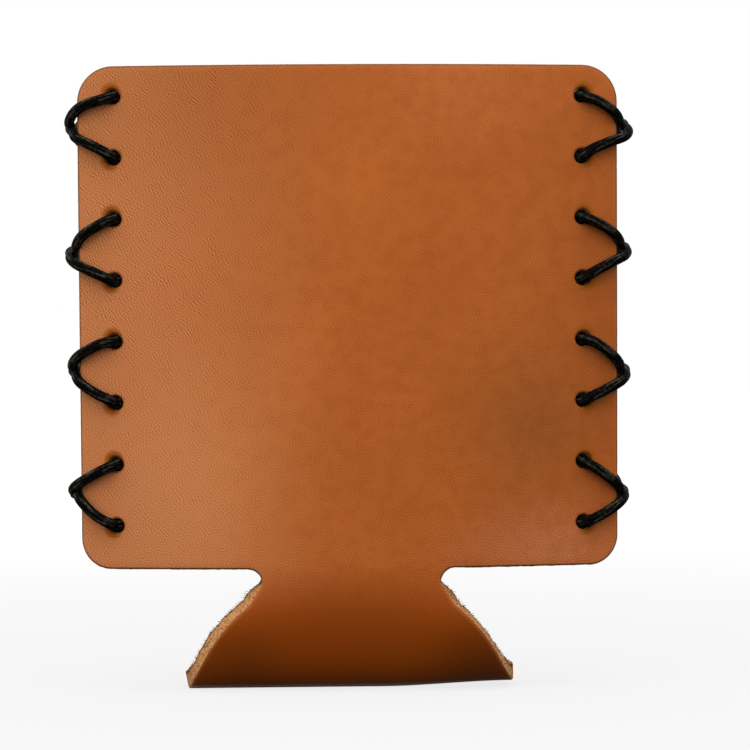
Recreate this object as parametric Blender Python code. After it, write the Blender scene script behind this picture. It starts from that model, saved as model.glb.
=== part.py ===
"""Leather can sleeve, folded flat and standing on its fold.

One punched leather blank is bent in a U across its round base, so that a front and a back panel face
each other. An elastic lace runs down each side and crosses over the edges four times. Lengths are in
metres, +Z runs from the fold to the mouth, and the front panel faces -Y.
"""

import math

import bmesh
import bpy
from mathutils import Matrix, Vector

# The blank, measured along its grain side
PANEL_WIDTH = 0.102
PANEL_HEIGHT = 0.0942
LEATHER_THICKNESS = 0.0031
BASE_RADIUS = 0.0308
WAIST_NOTCH_RADIUS = 0.0032
TOP_CORNER_RADIUS = 0.0068
BOTTOM_CORNER_RADIUS = 0.0057

# The rows of lace holes
HOLE_ROWS = 8
HOLE_TO_SIDE = 0.0069
HOLE_TO_TOP = 0.0058
HOLE_TO_BOTTOM = 0.0081

# How the blank is folded: the bend in the base, and the gaps between the flesh sides
INNER_FOLD_RADIUS = 0.0071
FOOT_WIDTH = 0.004
SIDE_GAP = 0.005
MOUTH_GAP = 0.0115
FOLD_SPLIT = 0.0003

# The laces
LACE_DIAMETER = 0.0022
LACE_CLEARANCE = 0.00025
# A lace's turns, and how far its strands stand off the side edges, as shares of its diameter
LACE_BEND_SHARE = 0.68
OUTER_REACH_SHARE = 1.0
OUTER_BEND_SHARE = 0.77
INNER_REACH_SHARE = 0.545
INNER_RISE_SHARE = 0.43
INNER_SINK_SHARE = 0.24
# How far a strand has come down from its hole to the crossing when it turns over the edge
EDGE_DROP_SHARE = 0.5
# The stopper knot at each end, inside the sleeve by the lowest holes
KNOT_INBOARD = 0.0078
KNOT_TO_PANEL = 0.0005
FRONT_KNOT_DROP = 0.0033
BACK_KNOT_RISE = 0.0075
# The knot's loops and the straight lead into it, as shares of the lace's diameter
KNOT_RING_SHARE = 0.59
KNOT_LOBE_SHARE = 1.42
KNOT_DEPTH_SHARE = 0.945
KNOT_LEAD_SHARE = 1.0
# Which strand of each crossing lies outside, from the top: the one that starts at the upper front hole?
LEFT_UPPER_OUTSIDE = (True, False, True, True)
RIGHT_UPPER_OUTSIDE = (False, False, False, False)

# How finely curves are divided
HOLE_SIDES = 16
CORNER_STEPS = 6
BASE_STEPS = 14
NOTCH_STEPS = 8
FOLD_STEPS = 9
WAIST_STEPS = 4
PANEL_COLUMNS = 14
LACE_STEP_ANGLE = math.radians(30)
KNOT_POINTS = 28
KNOT_OPENING = math.radians(17)
WELD_DISTANCE = 0.000001
FLAT_ANGLE = math.radians(1)
SHARP_ANGLE = math.radians(40)

hole_diameter = LACE_DIAMETER + 2 * LACE_CLEARANCE
fold_radius = INNER_FOLD_RADIUS + LEATHER_THICKNESS
foot_half = FOOT_WIDTH / 2
bend_end = foot_half + fold_radius * math.pi / 2
panel_start = BASE_RADIUS
panel_end = panel_start + PANEL_HEIGHT
panel_half = PANEL_WIDTH / 2
hole_across = panel_half - HOLE_TO_SIDE
hole_pitch = (PANEL_HEIGHT - HOLE_TO_TOP - HOLE_TO_BOTTOM) / (HOLE_ROWS - 1)
side_half_depth = SIDE_GAP / 2 + LEATHER_THICKNESS
waist_bow = foot_half + fold_radius - side_half_depth
mouth_bow = (MOUTH_GAP - SIDE_GAP) / 2
lace_lift = LACE_DIAMETER / 2 + LACE_CLEARANCE
lace_bend = LACE_DIAMETER * LACE_BEND_SHARE

FRONT = -1
BACK = 1
LEFT = -1
RIGHT = 1


def clamped(value):
    return min(max(value, 0.0), 1.0)


def eased(value):
    """0 to 1 with a level start and end."""
    value = clamped(value)
    return value * value * (3 - 2 * value)


def arc(centre, radius, start, stop, steps):
    """Points of an arc in the plane of the blank, angles in radians."""
    return [
        (
            centre[0] + radius * math.cos(start + (stop - start) * i / steps),
            centre[1] + radius * math.sin(start + (stop - start) * i / steps),
        )
        for i in range(steps + 1)
    ]


def hole_along(row):
    """Distance of a hole from the fold line, along the leather; row 0 is at the mouth."""
    return panel_end - HOLE_TO_TOP - row * hole_pitch


def right_outline():
    """The blank's right edge from the fold to the mouth: round base, notch, panel."""
    notch_along = panel_start - WAIST_NOTCH_RADIUS
    notch_across = math.sqrt((BASE_RADIUS + WAIST_NOTCH_RADIUS) ** 2 - notch_along**2)
    meets = math.atan2(notch_along, notch_across)
    first = math.asin(FOLD_SPLIT / 2 / BASE_RADIUS)
    base = arc((0, 0), BASE_RADIUS, first, meets, BASE_STEPS)
    notch = arc(
        (notch_across, notch_along), WAIST_NOTCH_RADIUS, math.pi + meets, math.pi / 2, NOTCH_STEPS
    )
    low_corner = arc(
        (panel_half - BOTTOM_CORNER_RADIUS, panel_start + BOTTOM_CORNER_RADIUS),
        BOTTOM_CORNER_RADIUS, -math.pi / 2, 0, CORNER_STEPS,
    )
    top_corner = arc(
        (panel_half - TOP_CORNER_RADIUS, panel_end - TOP_CORNER_RADIUS),
        TOP_CORNER_RADIUS, 0, math.pi / 2, CORNER_STEPS,
    )
    return base + notch[1:] + low_corner + top_corner


def half_outline():
    right = right_outline()
    return right + [(-across, along) for across, along in reversed(right)]


def hole_outlines():
    return [
        arc((hand * hole_across, hole_along(row)), hole_diameter / 2, 0, 2 * math.pi, HOLE_SIDES)[:-1]
        for hand in (LEFT, RIGHT)
        for row in range(HOLE_ROWS)
    ]


def bow_at(along):
    """How far the middle of the sleeve stands out past its side edges."""
    waist = waist_bow * eased((along - bend_end) / (panel_start - bend_end))
    up = clamped((along - panel_start) / PANEL_HEIGHT)
    return waist + (mouth_bow - waist_bow) * up


def grain_face(across, along):
    """The bent grain side: x, depth out from the middle plane, height."""
    if along <= foot_half:
        return Vector((across, along, 0))
    turn = min((along - foot_half) / fold_radius, math.pi / 2)
    depth = foot_half + fold_radius * math.sin(turn)
    height = fold_radius * (1 - math.cos(turn)) + max(along - bend_end, 0)
    bow = bow_at(along)
    if bow <= 0:
        return Vector((across, depth, height))
    curve = panel_half**2 / (2 * bow)
    if along > panel_start:
        depth = side_half_depth + bow
    return Vector(
        (curve * math.sin(across / curve), depth - curve * (1 - math.cos(across / curve)), height)
    )


def on_leather(side, across, along, lift=0.0):
    """World place of a point of the blank, lifted off its grain side; a negative lift goes through it."""
    step = LEATHER_THICKNESS / 100
    right = grain_face(across + step, along) - grain_face(across - step, along)
    up = grain_face(across, along + step) - grain_face(across, along - step)
    place = grain_face(across, along) + up.cross(right).normalized() * lift
    return Vector((place.x, side * place.y, place.z))


def flat_blank(name):
    """Half of the flat blank, with its holes, as a mesh: x across, y along, grain side up."""
    outline = bpy.data.curves.new(name, "CURVE")
    outline.dimensions = "2D"
    outline.fill_mode = "BOTH"
    outline.extrude = LEATHER_THICKNESS / 2
    for points in [half_outline(), *hole_outlines()]:
        spline = outline.splines.new("POLY")
        spline.points.add(len(points) - 1)
        for point, (across, along) in zip(spline.points, points):
            point.co = (across, along, 0, 1)
        spline.use_cyclic_u = True
    holder = bpy.data.objects.new(name, outline)
    bpy.context.scene.collection.objects.link(holder)
    graph = bpy.context.evaluated_depsgraph_get()
    mesh = bpy.data.meshes.new_from_object(holder.evaluated_get(graph))
    bpy.data.objects.remove(holder)
    bpy.data.curves.remove(outline)
    return mesh


def crease(shape, place, normal, above):
    """Divides the faces beyond a distance from the fold along one plane, and marks the new edges."""
    faces = [f for f in shape.faces if min(v.co.y for v in f.verts) >= above]
    edges = {e for f in faces for e in f.edges}
    verts = {v for f in faces for v in f.verts}
    cut = bmesh.ops.bisect_plane(
        shape, geom=[*faces, *edges, *verts], dist=WELD_DISTANCE, plane_co=place, plane_no=normal
    )
    for part in cut["geom_cut"]:
        if isinstance(part, bmesh.types.BMEdge):
            part.seam = True


def creases_along():
    """Where the bend needs edges across the blank, as distances from the fold line."""
    bend = [foot_half + (bend_end - foot_half) * i / FOLD_STEPS for i in range(FOLD_STEPS + 1)]
    waist = [
        bend_end + (panel_start - bend_end) * i / WAIST_STEPS for i in range(1, WAIST_STEPS + 1)
    ]
    rows = [hole_along(row) - hole_pitch / 2 for row in range(HOLE_ROWS - 1)]
    return bend + waist + rows


def creases_across():
    """Where the bow needs edges along the blank, clear of the lace holes."""
    inner = hole_across - hole_diameter
    middle = [inner * (2 * i / PANEL_COLUMNS - 1) for i in range(PANEL_COLUMNS + 1)]
    outer = hole_across + hole_diameter
    return [-outer, *middle, outer]


def bent_half(name, side):
    """The flat blank divided where it curves, then bent to its folded shape."""
    mesh = flat_blank(name)
    shape = bmesh.new()
    shape.from_mesh(mesh)
    bmesh.ops.remove_doubles(shape, verts=shape.verts, dist=WELD_DISTANCE)
    for along in creases_along():
        crease(shape, (0, along, 0), (0, 1, 0), 0)
    for across in creases_across():
        crease(shape, (across, 0, 0), (1, 0, 0), bend_end - WELD_DISTANCE)
    bmesh.ops.remove_doubles(shape, verts=shape.verts, dist=WELD_DISTANCE)
    bmesh.ops.dissolve_limit(
        shape, angle_limit=FLAT_ANGLE, verts=shape.verts, edges=shape.edges, delimit={"SEAM"}
    )
    bmesh.ops.triangulate(shape, faces=shape.faces, quad_method="BEAUTY", ngon_method="BEAUTY")
    for vert in shape.verts:
        lift = vert.co.z - LEATHER_THICKNESS / 2
        vert.co = on_leather(side, vert.co.x, vert.co.y, lift)
    if side == BACK:
        bmesh.ops.reverse_faces(shape, faces=shape.faces)
    shape.to_mesh(mesh)
    shape.free()
    mesh.shade_smooth()
    mesh.set_sharp_from_angle(angle=SHARP_ANGLE)
    return mesh


def corner_arc(before, corner, after, radius):
    """The points that round a corner of a route."""
    back = (before - corner).normalized()
    ahead = (after - corner).normalized()
    opening = back.angle(ahead)
    bend = math.pi - opening
    steps = max(1, math.ceil(bend / LACE_STEP_ANGLE))
    reach = radius / math.tan(opening / 2)
    centre = corner + (back + ahead).normalized() * radius / math.sin(opening / 2)
    start = corner + back * reach - centre
    axis = ahead.cross(back)
    return [centre + Matrix.Rotation(bend * i / steps, 3, axis) @ start for i in range(steps + 1)]


def rounded(route):
    """A smooth line through a route of (corner, radius) pairs; a radius of 0 keeps its place."""
    line = [route[0][0]]
    for (before, _), (corner, radius), (after, _) in zip(route, route[1:], route[2:]):
        line += corner_arc(before, corner, after, radius) if radius else [corner]
    return [*line, route[-1][0]]


def through_hole(hand, side, row, outward):
    """The two elbows of a strand that passes through a hole, in the order that it goes."""
    across = hand * hole_across
    outside = on_leather(side, across, hole_along(row), lace_lift)
    inside = on_leather(side, across, hole_along(row), -LEATHER_THICKNESS - lace_lift)
    ends = (inside, outside) if outward else (outside, inside)
    return [(end, lace_bend) for end in ends]


def over_edge(hand, row, from_side, outside):
    """A strand from the upper hole on one panel, over both edges, to the lower hole on the other."""
    upper = hole_along(row)
    lower = hole_along(row + 1)
    middle = (upper + lower) / 2
    drop = (upper - middle) * EDGE_DROP_SHARE
    reach = LACE_DIAMETER * (OUTER_REACH_SHARE if outside else INNER_REACH_SHARE)
    radius = LACE_DIAMETER * OUTER_BEND_SHARE if outside else lace_bend
    across = hand * (panel_half + reach)
    first = (on_leather(from_side, across, upper - drop, lace_lift), radius)
    last = (on_leather(-from_side, across, lower + drop, lace_lift), radius)
    if outside:
        return [first, last]
    edge = grain_face(panel_half, middle)
    saddle = Vector((hand * (edge.x - LACE_DIAMETER * INNER_SINK_SHARE), 0, edge.z))
    rise_across = hand * (edge.x + LACE_DIAMETER * INNER_RISE_SHARE)
    rise = Vector((rise_across, from_side * SIDE_GAP / 2, edge.z))
    rise.z += (first[0].z - edge.z) * rise.y / first[0].y
    fall = Vector((rise.x, -rise.y, 2 * edge.z - rise.z))
    return [first, (rise, lace_bend), (saddle, lace_bend), (fall, lace_bend), last]


def knot(hand, side):
    """An overhand knot at the lace's end: an opened three-lobed loop, led in from the last hole."""
    hole = on_leather(
        side, hand * hole_across, hole_along(HOLE_ROWS - 1), -LEATHER_THICKNESS - lace_lift
    )
    shift = BACK_KNOT_RISE if side == BACK else -FRONT_KNOT_DROP
    centre = Vector((hole.x - hand * KNOT_INBOARD, side * KNOT_TO_PANEL, hole.z + shift))
    points = []
    for i in range(KNOT_POINTS + 1):
        turn = math.pi + KNOT_OPENING + 2 * (math.pi - KNOT_OPENING) * i / KNOT_POINTS
        outboard = KNOT_LOBE_SHARE * math.cos(2 * turn) - KNOT_RING_SHARE * math.cos(turn)
        up = KNOT_LOBE_SHARE * math.sin(2 * turn) + KNOT_RING_SHARE * math.sin(turn)
        depth = KNOT_DEPTH_SHARE * math.sin(3 * turn)
        points.append(centre + LACE_DIAMETER * Vector((hand * outboard, -side * depth, up)))
    lead = points[0] - (points[1] - points[0]).normalized() * LACE_DIAMETER * KNOT_LEAD_SHARE
    return [(lead, lace_bend), *((point, 0) for point in points)]


def strand_down(hand, start_side, upper_outside):
    """One of the two strands of a side, from the first hole down to the last."""
    route = []
    side = start_side
    for crossing in range(HOLE_ROWS // 2):
        row = 2 * crossing
        outside = upper_outside[crossing] == (side == FRONT)
        route += through_hole(hand, side, row, True)
        route += over_edge(hand, row, side, outside)
        side = -side
        route += through_hole(hand, side, row + 1, False)
    return route + knot(hand, side)


def lace_route(hand, upper_outside):
    """The whole lace: up one strand, across between the two top holes, and down the other."""
    front = strand_down(hand, FRONT, upper_outside)
    back = strand_down(hand, BACK, upper_outside)
    top = on_leather(FRONT, hand * hole_across, hole_along(0), -LEATHER_THICKNESS - lace_lift)
    bridge = (Vector((top.x, 0, top.z)), lace_bend)
    return [*reversed(front), bridge, *back]


def lace(name, hand, upper_outside):
    tube = bpy.data.curves.new(name, "CURVE")
    tube.dimensions = "3D"
    tube.bevel_depth = LACE_DIAMETER / 2
    tube.bevel_resolution = 2
    tube.use_fill_caps = True
    line = rounded(lace_route(hand, upper_outside))
    spline = tube.splines.new("POLY")
    spline.points.add(len(line) - 1)
    for point, place in zip(spline.points, line):
        point.co = (*place, 1)
    return tube


def leather_material():
    return plain_material("cognac_leather", (0.43, 0.13, 0.035), 0.5)


def elastic_material():
    return plain_material("black_elastic", (0.012, 0.012, 0.011), 0.75)


def plain_material(name, colour, roughness):
    material = bpy.data.materials.new(name)
    material.use_nodes = True
    shader = material.node_tree.nodes["Principled BSDF"]
    shader.inputs["Base Color"].default_value = (*colour, 1)
    shader.inputs["Roughness"].default_value = roughness
    shader.inputs["Metallic"].default_value = 0.0
    material.diffuse_color = (*colour, 1)
    return material


def add_part(collection, name, data, material):
    part = bpy.data.objects.new(name, data)
    data.materials.append(material)
    collection.objects.link(part)
    return part


def build():
    for old in list(bpy.data.objects):
        bpy.data.objects.remove(old)
    sleeve = bpy.data.collections.new("leather_can_sleeve")
    bpy.context.scene.collection.children.link(sleeve)
    hinge = bpy.data.objects.new("fold_axis", None)
    sleeve.objects.link(hinge)
    leather = leather_material()
    front = add_part(sleeve, "leather_front", bent_half("leather_front", FRONT), leather)
    front.parent = hinge
    add_part(sleeve, "leather_back", bent_half("leather_back", BACK), leather.copy())
    elastic = elastic_material()
    add_part(sleeve, "lace_left", lace("lace_left", LEFT, LEFT_UPPER_OUTSIDE), elastic)
    add_part(sleeve, "lace_right", lace("lace_right", RIGHT, RIGHT_UPPER_OUTSIDE), elastic.copy())


build()
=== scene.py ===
"""Looks of the leather can sleeve: one bent leather blank with raw edges, and two braided elastic laces.

Lengths are in metres. The blank is described flat, by its distance across from the middle line and along
from the fold line, and bent by the same formulas as the solids. Along is positive on the front half.
"""

import math
import random

import bpy
import numpy as np
from mathutils import Matrix, Vector, noise
from mathutils.geometry import delaunay_2d_cdt


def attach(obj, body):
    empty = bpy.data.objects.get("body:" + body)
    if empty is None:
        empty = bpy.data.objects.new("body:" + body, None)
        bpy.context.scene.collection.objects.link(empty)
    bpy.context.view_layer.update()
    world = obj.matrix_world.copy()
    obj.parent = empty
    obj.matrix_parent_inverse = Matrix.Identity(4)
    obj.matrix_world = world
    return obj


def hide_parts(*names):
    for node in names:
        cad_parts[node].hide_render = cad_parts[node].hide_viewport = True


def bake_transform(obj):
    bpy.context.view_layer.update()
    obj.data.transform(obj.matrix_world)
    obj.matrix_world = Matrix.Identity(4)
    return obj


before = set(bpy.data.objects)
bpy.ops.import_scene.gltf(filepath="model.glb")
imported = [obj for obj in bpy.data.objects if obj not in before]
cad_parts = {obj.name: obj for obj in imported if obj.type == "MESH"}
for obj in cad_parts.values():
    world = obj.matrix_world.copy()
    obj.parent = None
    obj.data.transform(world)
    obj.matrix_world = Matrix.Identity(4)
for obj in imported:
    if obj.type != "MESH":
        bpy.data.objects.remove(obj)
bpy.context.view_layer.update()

# The blank, as in the solids
PANEL_WIDTH = 0.102
PANEL_HEIGHT = 0.0942
LEATHER_THICKNESS = 0.0031
BASE_RADIUS = 0.0308
TOP_CORNER_RADIUS = 0.0068
BOTTOM_CORNER_RADIUS = 0.0057
HOLE_ROWS = 8
HOLE_TO_SIDE = 0.0069
HOLE_TO_TOP = 0.0058
HOLE_TO_BOTTOM = 0.0081
INNER_FOLD_RADIUS = 0.0071
FOOT_WIDTH = 0.004
SIDE_GAP = 0.005
MOUTH_GAP = 0.0115
LACE_DIAMETER = 0.0022
LACE_CLEARANCE = 0.00025
# The height at which the base starts to turn under, which is above the top of the fold's round
BASE_TURN_HEIGHT = 0.016
# The fold's right end stands a little off the surface
FOLD_LIFT = 0.0011
FOLD_LIFT_START = 0.006
FOLD_LIFT_REACH = 0.014

# The waist, as half its width, the radius of the notch above it, and where the base's round meets it
WAIST_HALF = 0.0167
NOTCH_RADIUS = 0.0026
WAIST_JOIN = 0.0239
WAIST_REACH = 0.0008
WAIST_STEPS = 12

# How finely the visible leather is divided
LATTICE_STEP = 0.0009
OUTLINE_STEP = 0.0005
HOLE_SIDES = 36
HOLE_RINGS = (0.0003, 0.0007, 0.0013, 0.0021)
# Points whose distances are taken at once
BLOCK = 2000

# The section of a cut edge, as (inset from the outline, depth below the grain side, roughness)
EDGE_SECTION = (
    (0.00046, 0.0, 0.0), (0.00024, 0.00003, 0.0), (0.0001, 0.00012, 0.15),
    (0.00002, 0.00028, 0.3), (0.0, 0.0006, 0.5), (0.0, 0.0011, 0.7),
    (0.0, 0.0016, 0.8), (0.0, 0.0021, 0.9), (0.0, 0.0026, 1.0),
    (0.00005, 0.00295, 1.0), (0.00025, 0.0031, 0.6),
)
HOLE_SECTION = (
    (0.0005, 0.0, 0.0), (0.00026, 0.00005, 0.0), (0.00009, 0.0002, 0.0),
    (0.0, 0.0005, 0.0), (0.0, 0.0011, 0.1), (0.0, 0.0019, 0.2),
    (0.0, 0.0027, 0.3), (0.00025, 0.0031, 0.3),
)
EDGE_ROUGHNESS = 0.00022
# The edge's wander: noise per mm and its share, what the foot and the panels keep of it, and the
# least roughness that wanders
WANDER_NOISE = ((0.9, 0.8), (2.6, 0.9))
WANDER_CALM = 0.2
ROUGH_FROM = 0.1

# The front base's cut edge leans out: at the waist, at the fold, and how far in it fades
FLARE_LEFT = (0.0006, 0.002, 2.2)
FLARE_RIGHT = (0.0, 0.00145, 8.0)
FLARE_END = 0.0255
FLARE_STOP = 0.0292
FLARE_FADE = 0.004
FLARE_REACH = 0.0035

# Loose fibres on the raw edge: how many, where, and their size
FIBRE_COUNT = 2600
FIBRE_MARGIN = 0.001
FOOT_CALM = 0.0045
FIBRE_SEED = 4
FIBRE_SPREAD = 0.00035
FIBRE_LENGTH = 0.0001
FIBRE_RADIUS = 0.00008
FIBRE_SIDES = 3
FIBRE_TAPER = (1.0, 0.95, 0.7, 0.35)
# Their clumps, how their length varies, and how they turn, fall, curl and root
FIBRE_CLUMPS = 1400
FIBRE_THINNING = (-0.5, 0.35)
FIBRE_LENGTHS = (0.35, 1.0)
FIBRE_TURN = 0.55
FIBRE_FALL = (-0.25, 0.45)
FIBRE_CURL = 0.35
FIBRE_ROOT = -0.25

# Leather colours, linear
LEATHER_WARM = (0.41, 0.094, 0.0175)
LEATHER_DEEP = (0.37, 0.08, 0.0125)
LEATHER_RED = (0.31, 0.058, 0.0065)
# A painted sheen: the paler, greyer tone on the left of the panel stands in for the haze of light from the
# left
LEATHER_PAINTED_SHEEN = (0.485, 0.167, 0.064)
# Painted shade: darker colours for the waist and the base, where the leather turns under away from the light
LEATHER_WAIST_PAINTED_SHADE = (0.24, 0.037, 0.0015)
LEATHER_FOLD_PAINTED_SHADE = (0.275, 0.047, 0.001)
# A painted reflection: a pale grey band on the bottom of the fold, standing in for the white floor seen
# there at a grazing angle
FOLD_PAINTED_REFLECTION = (0.8, 0.62, 0.5)
LEATHER_DARK = (0.18, 0.032, 0.004)
STAIN_ORANGE = (0.29, 0.064, 0.004)
STAIN_BROWN = (0.09, 0.022, 0.004)
# A painted highlight: a pale pink line along the cut, standing in for light on the rounded brink
BRINK_PAINTED_HIGHLIGHT = (0.42, 0.125, 0.05)
BRINK_DARK = (0.1, 0.028, 0.01)
EDGE_TAN = (0.52, 0.25, 0.085)
EDGE_SHADE = (0.26, 0.1, 0.03)
EDGE_PALE = (0.68, 0.42, 0.19)
EDGE_BROWN = (0.09, 0.036, 0.014)
FIBRE_COLOUR = (0.04, 0.014, 0.004)
FLESH_PALE = (0.5, 0.27, 0.12)
FLESH_DARK = (0.33, 0.155, 0.064)
# Each surface: its specular level, depth of relief and strength of bump where that isn't 1
GRAIN_SURFACE = (0.3, 0.000048)
EDGE_SURFACE = (0.2, 0.00022)
FLESH_SURFACE = (0.15, 0.00035)
FIBRE_SURFACE = (0.15, 0.00002, 0.6)
BRAID_SURFACE = (0.012, 0.00014)
EDGE_DULLNESS = 0.92
FLESH_DULLNESS = 0.95
GRAIN_SHEEN = {"Specular Tint": (1, 0.86, 0.25, 1), "Sheen Weight": 0.02, "Sheen Roughness": 0.4}
FLESH_SHEEN = {"Sheen Weight": 0.1, "Sheen Roughness": 0.6}
# Ripples and pores: turn, patches per mm, waves a patch, how far they lie alike, gain and tints;
# the tints paint shade into the furrows and highlights onto the ridges
RIPPLE_TURN = 0.6
RIPPLE_SCALE = 1.05
RIPPLE_WAVES = 1.85
RIPPLE_ALIGNED = 0.7
PORE_SCALE = 1.25
PORE_WAVES = 1.75
PORE_ALIGNED = 0.1
GRAIN_GAIN = 1.9
FURROW_PAINTED_SHADE = (0.74, 0.5, 0.12)
RIDGE_PAINTED_HIGHLIGHT = (1.26, 1.5, 1.88)
# Noise: scale per mm, detail, roughness and distortion
BREAK_SCALE = 0.3
RAG_SCALE = 4.2
PATCH_NOISE = (0.045, 3, 0.6)
MOTTLE_NOISE = (0.3, 5, 0.62)
SPECK_NOISE = (2.6, 1)
EDGE_COARSE = (1.6, 3, 0.65)
EDGE_FINE = (6.5, 3, 0.6)
EDGE_SPECKS = (2.9, 3, 0.6)
NAP_NOISE = (2.2, 4, 0.65, 0.8)
FLESH_CLOUDS = (0.12, 3)
FIBRE_TONES = 1500
BRAID_NOISE = (1, 4, 0.66)
# How looks follow a value: from, to, and the results there; across and along are in mm
GRAIN_ALONG = (19, 32, 0.42, 1)
# The ripples are drawn strongest on the left, and the painted highlight and shade on the grain with them
RIPPLES_ACROSS = (-36, 4, 0.95, 0.16)
RIPPLES_ALONG = (25, 90, 0.45, 1)
RIPPLE_BREAKS = (0.3, 0.7, 0.55, 1.3)
PORES_ALONG = (30, 110, 0.62, 0.42)
PATCH_SPREAD = (0.3, 0.7)
RED_SPREAD = (0.38, 0.68, 0, 0.45)
# Where the painted sheen lies: strongest on the left, fading out towards the right
PAINTED_SHEEN_ACROSS = (-44, 10, 0.85, 0.04)
SPECK_SPREAD = (0.68, 0.78, 0, 0.3)
STAIN_MOTTLE = (0.2, 0.7, 0.8, 1.05)
STAIN_EDGE = (0.08, 0.5)
STAIN_CORE = (0.5, 0.95, 0, 0.9)
BRINK_HIGHLIGHT_SPREAD = (0.95, 0.6, 0, 0.25)
BRINK_LINE = (0.62, 0.4, 0, 0.92)
BRINK_ALONG = (26, 31.5)
GRAIN_GLOSS = (0.2, 0.8, 0.62, 0.5)
PATCH_GLOSS = (0.3, 0.7, -0.03, 0.05)
EDGE_SPREAD = (0.4, 0.56)
EDGE_PALE_SPREAD = (0.55, 0.66, 0, 0.7)
EDGE_LINE = (-0.15, 0.08, 0, 0.8)
EDGE_FOOT = (-3.5, -4, 0, 0.92)
EDGE_SPECK_SPREAD = (0.53, 0.61, 0, 0.85)
NAP_SPREAD = (0.35, 0.68)
FLESH_SPREAD = (0.35, 0.7, 0, 0.15)
FIBRE_TONE_SPREAD = (0.4, 0.65)
FIBRE_GLOSS = (0.3, 0.7, 0.8, 0.95)
BRAID_SPREAD = (0.5, 0.66)
BRAID_GLOSS = (0.3, 0.7, 0.4, 0.65)
# How far noise sways a border, and how much the coarse noise counts on the cut edge
PATCH_SWAY = 12
RAG_SHARE = 0.35
EDGE_LINE_SWAY = 0.3
EDGE_FOOT_SWAY = 2.4
EDGE_COARSE_SHARE = 0.45
# The nap of the flesh side lies aslant and is drawn out
NAP_TURN = math.radians(20)
NAP_STRETCH = (1, 0.45, 1)
# Painted shade and a painted reflection along the leather: the base darker towards the fold, where it
# turns under away from the light, and the floor's reflection on the bottom of the fold
PAINTED_LIGHT_ALONG = (
    (LEATHER_WAIST_PAINTED_SHADE, (22, 33, 1, 0)),
    (LEATHER_FOLD_PAINTED_SHADE, (13, 23, 1, 0)),
    (FOLD_PAINTED_REFLECTION, (4.8, 6.8, 0.85, 0)),
)
# Painted light and shade: clouds that multiply the colour, as centre and reach on the blank in mm and
# the tint; paler, bluer ones paint the light's haze, darker ones paint shade, most on the right and the base
PAINTED_LIGHT_CLOUDS = (
    ((-30, 122), (32, 34), (0.84, 0.78, 0.7)),
    ((20, 124), (36, 24), (1.08, 1.16, 1.45)),
    ((-9, 70), (12, 16), (1.12, 1.14, 1.25)),
    ((3, 100), (15, 20), (1.08, 1.14, 1.14)),
    ((-25, 46), (24, 38), (1.14, 1.32, 1.5)),
    ((48, 78), (24, 56), (0.9, 0.9, 0.94)),
    ((33, 57), (21, 25), (0.76, 0.81, 0.86)),
    ((36, 34), (27, 13), (1.1, 1.38, 2.7)),
    ((-20, 13), (11, 13), (0.8, 0.8, 1)),
    ((25, 12), (15, 15), (0.56, 0.6, 0.9)),
)

# The braid of the elastic
ELASTIC_DARK = (0.0016, 0.0015, 0.0012)
# Pale lines along the cord: partly the braid's lighter fibres, partly a painted sheen in place of the
# strands' highlight
ELASTIC_FIBRES_AND_PAINTED_SHEEN = (0.046, 0.043, 0.032)
BRAID_STRANDS = 16
BRAID_PITCH = 0.0021
# Its drawn fibres, as lines around and per mm, and the braid's share of the relief
BRAID_LINES = (13.0, 0.26)
BRAID_RELIEF = 0.035

# Studio: the camera's lens and sensor in mm, place, and yaw, pitch and roll in degrees; what the floor
# gives back and where it fades; and the lamps as azimuth, elevation, distance, size and power
CAMERA_LENS = 126.2
CAMERA_SENSOR = 36
CAMERA_PLACE = (-0.0105, -0.5, 0.060)
CAMERA_TURNS = (1.77, -0.12, -0.39)
FLOOR_SIZE = 12
FLOOR_GLOW = 0.8
FLOOR_GREY = (0.07, 0.07, 0.07)
# The floor as reflections see it: a painted shadow, dark near the object and fading out, in place of its
# cast shadow
FLOOR_PAINTED_SHADOW_LEVEL = 0.12
FLOOR_FADE = (0.1, 0.7)
FLOOR_PAINTED_SHADOW_FADE = (0.04, 0.4)
SKY_LEVEL = 0.95
LAMP_AIM = Vector((0, 0, 0.06))
LAMPS = {
    "key": (-45, 70, 1.0, 1.5, 12.4),
    "top_right": (70, 60, 0.42, 0.6, 1.3),
    "low_left": (-78, 0, 0.42, 0.5, 1.05),
    "behind": (165, 40, 1.0, 0.7, 0.4),
}

# A hole's stain: its reach, heading and strength at upper and lower holes, and what it keeps of
# its reach and strength away from its heading
STAIN_REACH = 0.0012
STAINS = (((0.5, 0.87), 1.0), ((0.75, -0.66), 0.85))
STAIN_ROUND = 0.4
STAIN_AROUND = 0.45
# How far in from the cut the brink is mapped
BRINK_REACH = 0.003
# The blank's own map, from metres to its unit square
MAP_SCALE = 4
MAP_MIDDLE = 0.5

# The laces: radius in a hole, on the leather and over the edge, and how the strands lie
LACE_STEP = 0.00022
LACE_SIDES = 22
HOLE_LACE_RADIUS = 0.00106
PLUG_SWELL = 0.00026
PLUG_LENGTH = 0.00085
HOLE_LEAN = 0.00024
RUN_LACE_RADIUS = 0.00098
EDGE_LACE_RADIUS = 0.001
EDGE_SQUASH_SHARE = 0.94
LACE_TURN_RADIUS = 0.00115
LACE_CUT_DEPTH = 0.0009
LACE_SMOOTHING = 14
KNOT_SMOOTHING = 8
SPLINE_POINTS = 12
# How a strand leaves its hole: shares of its turn, and how deep the turn starts
TURN_SHARES = (0.33, 0.67)
TURN_SINK = 0.13
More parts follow.
